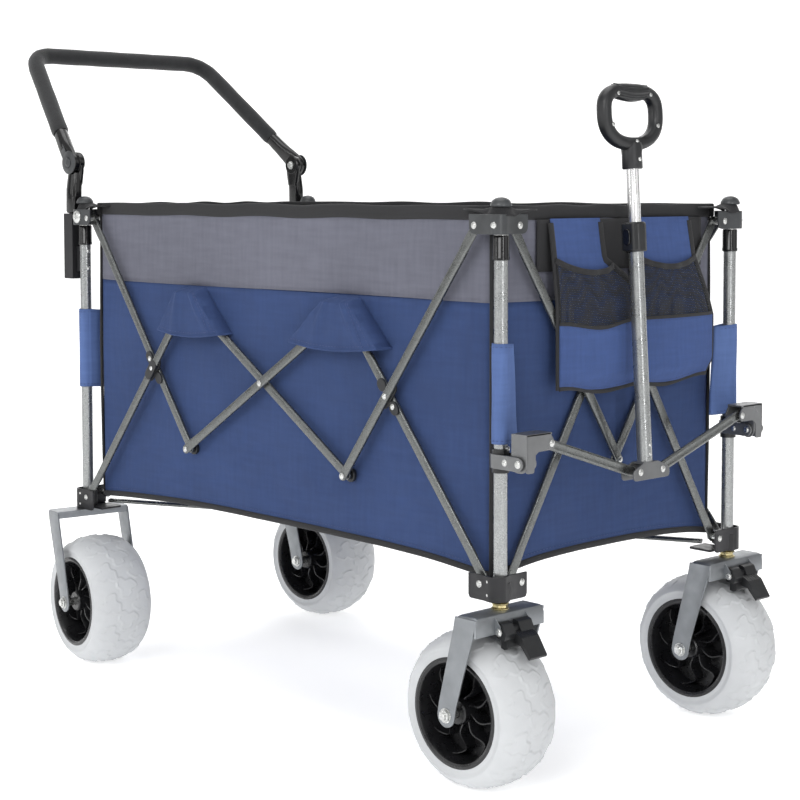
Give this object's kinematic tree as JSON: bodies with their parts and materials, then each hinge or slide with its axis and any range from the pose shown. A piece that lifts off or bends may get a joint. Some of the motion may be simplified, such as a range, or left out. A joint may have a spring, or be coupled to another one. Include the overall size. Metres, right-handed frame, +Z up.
{
  "type": "folding beach cart",
  "caption": "Folding beach cart: fabric tub on a scissor frame with balloon wheels, pull handle and push handle.",
  "frame": {"origin": "middle of the footprint, on the ground", "axes": "+X to the front, where the pull handle is; +Y to the cart's left; +Z up"},
  "size_m": [1.2404, 0.611, 0.9997],
  "materials": {
    "frame_grey": "hammertone grey powder coat on steel tube",
    "steel_grey": "grey painted pressed steel",
    "black_plastic": "black moulded plastic",
    "foam_black": "black closed-cell foam sleeve",
    "tub_fabric": "blue polyester canvas with a grey band and black binding",
    "tyre_grey": "light grey balloon tyre, low tread",
    "web_black": "black webbing",
    "tube_bright": "satin aluminium tube with black moulded grip"
  },
  "bodies": {
    "front_right": {"front_right_post": "frame_grey"},
    "front_right_slider": {"front_right_post_slider": "black_plastic"},
    "front_right_wheel": {"front_right_tyre": "tyre_grey", "front_right_rim": "black_plastic"},
    "front_right_floor_bar": {"front_right_floor_bar": "frame_grey"},
    "front_left": {"front_left_post": "frame_grey"},
    "front_left_slider": {"front_left_post_slider": "black_plastic"},
    "front_left_wheel": {"front_left_tyre": "tyre_grey", "front_left_rim": "black_plastic"},
    "front_left_floor_bar": {"front_left_floor_bar": "frame_grey"},
    "rear_right": {"rear_right_post": "frame_grey", "rear_right_fork": "steel_grey"},
    "rear_right_slider": {"rear_right_post_slider": "black_plastic", "fabric_tub": "tub_fabric"},
    "rear_right_wheel": {"rear_right_tyre": "tyre_grey", "rear_right_rim": "black_plastic"},
    "rear_right_floor_bar": {"rear_right_floor_bar": "frame_grey"},
    "rear_left": {"rear_left_post": "frame_grey", "rear_left_fork": "steel_grey"},
    "rear_left_slider": {"rear_left_post_slider": "black_plastic"},
    "rear_left_wheel": {"rear_left_tyre": "tyre_grey", "rear_left_rim": "black_plastic"},
    "rear_left_floor_bar": {"rear_left_floor_bar": "frame_grey"},
    "front_right_caster": {"front_right_fork": "steel_grey"},
    "front_right_brake": {"front_right_brake_pedal": "black_plastic"},
    "front_left_caster": {"front_left_fork": "steel_grey"},
    "front_left_brake": {"front_left_brake_pedal": "black_plastic"},
    "floor_web": {"floor_web": "web_black"},
    "right_bar_rear_top": {"right_bar_rear_top": "frame_grey"},
    "right_bar_rear_bottom": {"right_bar_rear_bottom": "frame_grey"},
    "right_bar_middle_falling": {"right_bar_middle_falling": "frame_grey"},
    "right_bar_middle_rising": {"right_bar_middle_rising": "frame_grey"},
    "right_bar_front_bottom": {"right_bar_front_bottom": "frame_grey"},
    "right_bar_front_top": {"right_bar_front_top": "frame_grey"},
    "left_bar_rear_top": {"left_bar_rear_top": "frame_grey"},
    "left_bar_rear_bottom": {"left_bar_rear_bottom": "frame_grey"},
    "left_bar_middle_falling": {"left_bar_middle_falling": "frame_grey"},
    "left_bar_middle_rising": {"left_bar_middle_rising": "frame_grey"},
    "left_bar_front_bottom": {"left_bar_front_bottom": "frame_grey"},
    "left_bar_front_top": {"left_bar_front_top": "frame_grey"},
    "front_bar_right_top": {"front_bar_right_top": "frame_grey"},
    "front_bar_right_bottom": {"front_bar_right_bottom": "frame_grey"},
    "front_bar_left_bottom": {"front_bar_left_bottom": "frame_grey"},
    "front_bar_left_top": {"front_bar_left_top": "frame_grey"},
    "rear_bar_right_top": {"rear_bar_right_top": "frame_grey"},
    "rear_bar_right_bottom": {"rear_bar_right_bottom": "frame_grey"},
    "rear_bar_left_bottom": {"rear_bar_left_bottom": "frame_grey"},
    "rear_bar_left_top": {"rear_bar_left_top": "frame_grey"},
    "pull_bracket_right": {"pull_bracket_right": "steel_grey"},
    "pull_arm_right": {"pull_arm_right": "steel_grey"},
    "pull_bracket_left": {"pull_bracket_left": "steel_grey"},
    "pull_arm_left": {"pull_arm_left": "steel_grey"},
    "pull_tube_lower": {"pull_tube_lower": "steel_grey"},
    "pull_tube_upper": {"pull_tube_upper": "tube_bright"},
    "pull_lock_button": {"pull_lock_button": "black_plastic"},
    "push_legs": {"push_leg_right": "black_plastic", "push_leg_left": "black_plastic"},
    "push_handle": {"push_handle": "foam_black"},
    "push_button_right": {"push_button_right": "black_plastic"},
    "push_button_left": {"push_button_left": "black_plastic"}
  },
  "joints": [
    {"name": "fold", "type": "slide", "parent": "rear_right", "child": "front_right", "axis": [-1, 0, 0], "range_m": [0, 0.494], "deforming": ["fabric_tub", "floor_web"]},
    {"name": "fold_rear_left", "type": "slide", "parent": "rear_right", "child": "rear_left", "axis": [0, -1, 0], "range_m": [0, 0.285]},
    {"name": "fold_front_left", "type": "slide", "parent": "front_right", "child": "front_left", "axis": [0, -1, 0], "range_m": [0, 0.285]},
    {"name": "rise_front_right", "type": "slide", "parent": "front_right", "child": "front_right_slider", "axis": [0, 0, 1], "range_m": [0, 0.1121]},
    {"name": "rise_front_left", "type": "slide", "parent": "front_left", "child": "front_left_slider", "axis": [0, 0, 1], "range_m": [0, 0.1121]},
    {"name": "rise_rear_right", "type": "slide", "parent": "rear_right", "child": "rear_right_slider", "axis": [0, 0, 1], "range_m": [0, 0.1121]},
    {"name": "rise_rear_left", "type": "slide", "parent": "rear_left", "child": "rear_left_slider", "axis": [0, 0, 1], "range_m": [0, 0.1121]},
    {"name": "front_right_swivel", "type": "hinge", "parent": "front_right", "child": "front_right_caster", "pos_m": [0.55256, -0.23155, 0.235], "axis": [0, 0, 1], "continuous": true},
    {"name": "front_right_brake", "type": "hinge", "parent": "front_right_caster", "child": "front_right_brake", "pos_m": [0.57606, -0.23155, 0.207], "axis": [0, 1, 0], "range_deg": [0, 15]},
    {"name": "front_right_wheel_spin", "type": "hinge", "parent": "front_right_caster", "child": "front_right_wheel", "pos_m": [0.51856, -0.23155, 0.1016], "axis": [0, 1, 0], "continuous": true},
    {"name": "front_left_swivel", "type": "hinge", "parent": "front_left", "child": "front_left_caster", "pos_m": [0.55256, 0.23745, 0.235], "axis": [0, 0, 1], "continuous": true},
    {"name": "front_left_brake", "type": "hinge", "parent": "front_left_caster", "child": "front_left_brake", "pos_m": [0.57606, 0.23745, 0.207], "axis": [0, 1, 0], "range_deg": [0, 15]},
    {"name": "front_left_wheel_spin", "type": "hinge", "parent": "front_left_caster", "child": "front_left_wheel", "pos_m": [0.51856, 0.23745, 0.1016], "axis": [0, 1, 0], "continuous": true},
    {"name": "rear_right_wheel_spin", "type": "hinge", "parent": "rear_right", "child": "rear_right_wheel", "pos_m": [-0.32882, -0.23697, 0.1016], "axis": [0.1392, 0.9903, 0], "continuous": true},
    {"name": "rear_left_wheel_spin", "type": "hinge", "parent": "rear_left", "child": "rear_left_wheel", "pos_m": [-0.32844, 0.23745, 0.1016], "axis": [0, 1, 0], "continuous": true},
    {"name": "right_bar_rear_top_pivot", "type": "hinge", "parent": "rear_right_slider", "child": "right_bar_rear_top", "pos_m": [-0.33744, -0.23505, 0.711], "axis": [0, 1, 0], "range_deg": [0, 32.66]},
    {"name": "right_bar_rear_bottom_pivot", "type": "hinge", "parent": "rear_right", "child": "right_bar_rear_bottom", "pos_m": [-0.34744, -0.24255, 0.263], "axis": [0, 1, 0], "range_deg": [-34.31, 0]},
    {"name": "right_bar_middle_falling_pivot", "type": "hinge", "parent": "right_bar_rear_bottom", "child": "right_bar_middle_falling", "pos_m": [-0.08244, -0.23505, 0.592], "axis": [0, 1, 0], "range_deg": [0, 43.96]},
    {"name": "right_bar_middle_rising_pivot", "type": "hinge", "parent": "right_bar_rear_top", "child": "right_bar_middle_rising", "pos_m": [-0.08444, -0.24255, 0.368], "axis": [0, 1, 0], "range_deg": [-42.31, 0]},
    {"name": "right_bar_front_bottom_pivot", "type": "hinge", "parent": "front_right", "child": "right_bar_front_bottom", "pos_m": [0.53256, -0.23505, 0.263], "axis": [0, 1, 0], "range_deg": [0, 34.31]},
    {"name": "right_bar_front_top_pivot", "type": "hinge", "parent": "front_right_slider", "child": "right_bar_front_top", "pos_m": [0.52256, -0.24255, 0.711], "axis": [0, 1, 0], "range_deg": [-32.66, 0]},
    {"name": "left_bar_rear_top_pivot", "type": "hinge", "parent": "rear_left_slider", "child": "left_bar_rear_top", "pos_m": [-0.33744, 0.24096, 0.711], "axis": [0, 1, 0], "range_deg": [0, 32.66]},
    {"name": "left_bar_rear_bottom_pivot", "type": "hinge", "parent": "rear_left", "child": "left_bar_rear_bottom", "pos_m": [-0.34744, 0.24846, 0.263], "axis": [0, 1, 0], "range_deg": [-34.31, 0]},
    {"name": "left_bar_middle_falling_pivot", "type": "hinge", "parent": "left_bar_rear_bottom", "child": "left_bar_middle_falling", "pos_m": [-0.08244, 0.24096, 0.592], "axis": [0, 1, 0], "range_deg": [0, 43.96]},
    {"name": "left_bar_middle_rising_pivot", "type": "hinge", "parent": "left_bar_rear_top", "child": "left_bar_middle_rising", "pos_m": [-0.08444, 0.24846, 0.368], "axis": [0, 1, 0], "range_deg": [-42.31, 0]},
    {"name": "left_bar_front_bottom_pivot", "type": "hinge", "parent": "front_left", "child": "left_bar_front_bottom", "pos_m": [0.53256, 0.24096, 0.263], "axis": [0, 1, 0], "range_deg": [0, 34.31]},
    {"name": "left_bar_front_top_pivot", "type": "hinge", "parent": "front_left_slider", "child": "left_bar_front_top", "pos_m": [0.52256, 0.24846, 0.711], "axis": [0, 1, 0], "range_deg": [-32.66, 0]},
    {"name": "front_bar_right_top_pivot", "type": "hinge", "parent": "front_right_slider", "child": "front_bar_right_top", "pos_m": [0.54356, -0.20705, 0.711], "axis": [1, 0, 0], "range_deg": [-23.77, 0]},
    {"name": "front_bar_right_bottom_pivot", "type": "hinge", "parent": "front_right", "child": "front_bar_right_bottom", "pos_m": [0.54356, -0.20205, 0.264], "axis": [1, 0, 0], "range_deg": [0, 22.62]},
    {"name": "front_bar_left_bottom_pivot", "type": "hinge", "parent": "front_left", "child": "front_bar_left_bottom", "pos_m": [0.54356, 0.20796, 0.264], "axis": [1, 0, 0], "range_deg": [-22.62, 0]},
    {"name": "front_bar_left_top_pivot", "type": "hinge", "parent": "front_left_slider", "child": "front_bar_left_top", "pos_m": [0.54356, 0.21296, 0.711], "axis": [1, 0, 0], "range_deg": [0, 23.77]},
    {"name": "rear_bar_right_top_pivot", "type": "hinge", "parent": "rear_right_slider", "child": "rear_bar_right_top", "pos_m": [-0.35844, -0.20705, 0.711], "axis": [1, 0, 0], "range_deg": [-23.77, 0]},
    {"name": "rear_bar_right_bottom_pivot", "type": "hinge", "parent": "rear_right", "child": "rear_bar_right_bottom", "pos_m": [-0.35844, -0.20205, 0.264], "axis": [1, 0, 0], "range_deg": [0, 22.62]},
    {"name": "rear_bar_left_bottom_pivot", "type": "hinge", "parent": "rear_left", "child": "rear_bar_left_bottom", "pos_m": [-0.35844, 0.20796, 0.264], "axis": [1, 0, 0], "range_deg": [-22.62, 0]},
    {"name": "rear_bar_left_top_pivot", "type": "hinge", "parent": "rear_left_slider", "child": "rear_bar_left_top", "pos_m": [-0.35844, 0.21296, 0.711], "axis": [1, 0, 0], "range_deg": [0, 23.77]},
    {"name": "front_right_floor_bar_pivot", "type": "hinge", "parent": "front_right", "child": "front_right_floor_bar", "pos_m": [0.52456, -0.20505, 0.254], "axis": [0.4338, 0.901, 0], "range_deg": [0, 71.75]},
    {"name": "front_left_floor_bar_pivot", "type": "hinge", "parent": "front_left", "child": "front_left_floor_bar", "pos_m": [0.52456, 0.21096, 0.254], "axis": [-0.4338, 0.901, 0], "range_deg": [0, 71.75]},
    {"name": "rear_right_floor_bar_pivot", "type": "hinge", "parent": "rear_right", "child": "rear_right_floor_bar", "pos_m": [-0.33944, -0.20505, 0.254], "axis": [0.4338, -0.901, 0], "range_deg": [0, 71.75]},
    {"name": "rear_left_floor_bar_pivot", "type": "hinge", "parent": "rear_left", "child": "rear_left_floor_bar", "pos_m": [-0.33944, 0.21096, 0.254], "axis": [-0.4338, -0.901, 0], "range_deg": [0, 71.75]},
    {"name": "floor_web_lift", "type": "slide", "parent": "rear_right", "child": "floor_web", "axis": [-0.5831, -0.3353, 0.74], "range_m": [0, 0.4246]},
    {"name": "pull_swing_right", "type": "hinge", "parent": "front_right", "child": "pull_bracket_right", "pos_m": [0.59256, -0.23155, 0.419], "axis": [0, -1, 0], "range_deg": [-50, 0]},
    {"name": "pull_arm_right_pivot", "type": "hinge", "parent": "pull_bracket_right", "child": "pull_arm_right", "pos_m": [0.59256, -0.19404, 0.442], "axis": [1, 0, 0], "range_deg": [-61.73, 0]},
    {"name": "pull_swing_left", "type": "hinge", "parent": "front_left", "child": "pull_bracket_left", "pos_m": [0.59256, 0.23745, 0.419], "axis": [0, -1, 0], "range_deg": [-50.5, 0.5]},
    {"name": "pull_arm_left_pivot", "type": "hinge", "parent": "pull_bracket_left", "child": "pull_arm_left", "pos_m": [0.59256, 0.19995, 0.442], "axis": [1, 0, 0], "range_deg": [0, 61.73]},
    {"name": "pull_yoke_drop", "type": "slide", "parent": "pull_bracket_right", "child": "pull_tube_lower", "axis": [0, -0.7668, -0.6419], "range_m": [0, 0.1862]},
    {"name": "pull_tube_extend", "type": "slide", "parent": "pull_tube_lower", "child": "pull_tube_upper", "axis": [-0.0628, 0, 0.998], "range_m": [-0.05, 0.2]},
    {"name": "pull_lock_button_press", "type": "slide", "parent": "pull_tube_lower", "child": "pull_lock_button", "axis": [0, 1, 0], "range_m": [0, 0.0025], "stiffness_N_per_m": 400, "springref_m": -0.001},
    {"name": "push_handle_lift", "type": "slide", "parent": "rear_right", "child": "push_legs", "axis": [0, 0, 1], "range_m": [0, 0.15]},
    {"name": "push_handle_tilt", "type": "hinge", "parent": "push_legs", "child": "push_handle", "pos_m": [-0.39944, 0.00296, 0.8], "axis": [0, 1, 0], "range_deg": [-39, 136]},
    {"name": "push_button_right_press", "type": "slide", "parent": "push_handle", "child": "push_button_right", "axis": [0, 1, 0], "range_m": [0, 0.003], "stiffness_N_per_m": 400, "springref_m": -0.001},
    {"name": "push_button_left_press", "type": "slide", "parent": "push_handle", "child": "push_button_left", "axis": [0, -1, 0], "range_m": [0, 0.003], "stiffness_N_per_m": 400, "springref_m": -0.001}
  ],
  "couplings": [
    {"joint": "fold_rear_left", "follows": "fold", "ratio": 0.575},
    {"joint": "fold_front_left", "follows": "fold", "ratio": 0.575},
    {"joint": "rise_front_right", "follows": "fold", "ratio": 0.225},
    {"joint": "rise_front_left", "follows": "fold", "ratio": 0.225},
    {"joint": "rise_rear_right", "follows": "fold", "ratio": 0.225},
    {"joint": "rise_rear_left", "follows": "fold", "ratio": 0.225},
    {"joint": "right_bar_rear_top_pivot", "follows": "fold", "rad_per_m": 1.1364},
    {"joint": "right_bar_rear_bottom_pivot", "follows": "fold", "rad_per_m": -1.1946},
    {"joint": "right_bar_middle_falling_pivot", "follows": "fold", "rad_per_m": 1.5355},
    {"joint": "right_bar_middle_rising_pivot", "follows": "fold", "rad_per_m": -1.4773},
    {"joint": "right_bar_front_bottom_pivot", "follows": "fold", "rad_per_m": 1.1946},
    {"joint": "right_bar_front_top_pivot", "follows": "fold", "rad_per_m": -1.1364},
    {"joint": "left_bar_rear_top_pivot", "follows": "fold", "rad_per_m": 1.1364},
    {"joint": "left_bar_rear_bottom_pivot", "follows": "fold", "rad_per_m": -1.1946},
    {"joint": "left_bar_middle_falling_pivot", "follows": "fold", "rad_per_m": 1.5355},
    {"joint": "left_bar_middle_rising_pivot", "follows": "fold", "rad_per_m": -1.4773},
    {"joint": "left_bar_front_bottom_pivot", "follows": "fold", "rad_per_m": 1.1946},
    {"joint": "left_bar_front_top_pivot", "follows": "fold", "rad_per_m": -1.1364},
    {"joint": "front_bar_right_top_pivot", "follows": "fold", "rad_per_m": -0.82213},
    {"joint": "front_bar_right_bottom_pivot", "follows": "fold", "rad_per_m": 0.78144},
    {"joint": "front_bar_left_bottom_pivot", "follows": "fold", "rad_per_m": -0.78144},
    {"joint": "front_bar_left_top_pivot", "follows": "fold", "rad_per_m": 0.82213},
    {"joint": "rear_bar_right_top_pivot", "follows": "fold", "rad_per_m": -0.82213},
    {"joint": "rear_bar_right_bottom_pivot", "follows": "fold", "rad_per_m": 0.78144},
    {"joint": "rear_bar_left_bottom_pivot", "follows": "fold", "rad_per_m": -0.78144},
    {"joint": "rear_bar_left_top_pivot", "follows": "fold", "rad_per_m": 0.82213},
    {"joint": "front_right_floor_bar_pivot", "follows": "fold", "rad_per_m": 2.5173},
    {"joint": "front_left_floor_bar_pivot", "follows": "fold", "rad_per_m": 2.5173},
    {"joint": "rear_right_floor_bar_pivot", "follows": "fold", "rad_per_m": 2.5173},
    {"joint": "rear_left_floor_bar_pivot", "follows": "fold", "rad_per_m": 2.5173},
    {"joint": "floor_web_lift", "follows": "fold", "ratio": 0.85755},
    {"joint": "pull_arm_right_pivot", "follows": "fold", "rad_per_m": -2.1634},
    {"joint": "pull_arm_left_pivot", "follows": "fold", "rad_per_m": 2.1634},
    {"joint": "pull_swing_left", "follows": "pull_swing_right", "ratio": 1},
    {"joint": "pull_yoke_drop", "follows": "fold", "ratio": 0.37493}
  ]
}
